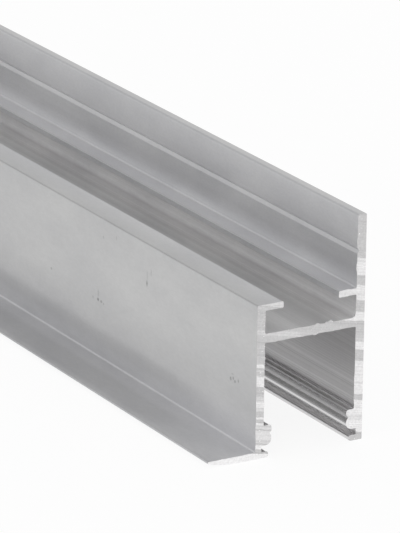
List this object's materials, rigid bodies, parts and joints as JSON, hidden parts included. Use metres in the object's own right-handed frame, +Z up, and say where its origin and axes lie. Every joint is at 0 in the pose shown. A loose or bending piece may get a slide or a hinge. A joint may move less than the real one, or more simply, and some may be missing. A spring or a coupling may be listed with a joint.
{
  "type": "aluminium extrusion profile",
  "caption": "Straight aluminium extrusion with a tall back wall and drill line, a lipped clip slot, a snap-in cover channel below the web and a tapered foot flange.",
  "frame": {"origin": "centre of the bar's bounding box at its base", "axes": "+Y along the bar's length, +Z up as it stands on its foot, +X from the foot flange towards the back wall"},
  "size_m": [0.036, 1, 0.048],
  "materials": {
    "mill_aluminium": "mill finish, matte, with faint die lines along the length and sawn ends"
  },
  "bodies": {
    "root": {"extruded_profile": "mill_aluminium"}
  },
  "joints": []
}
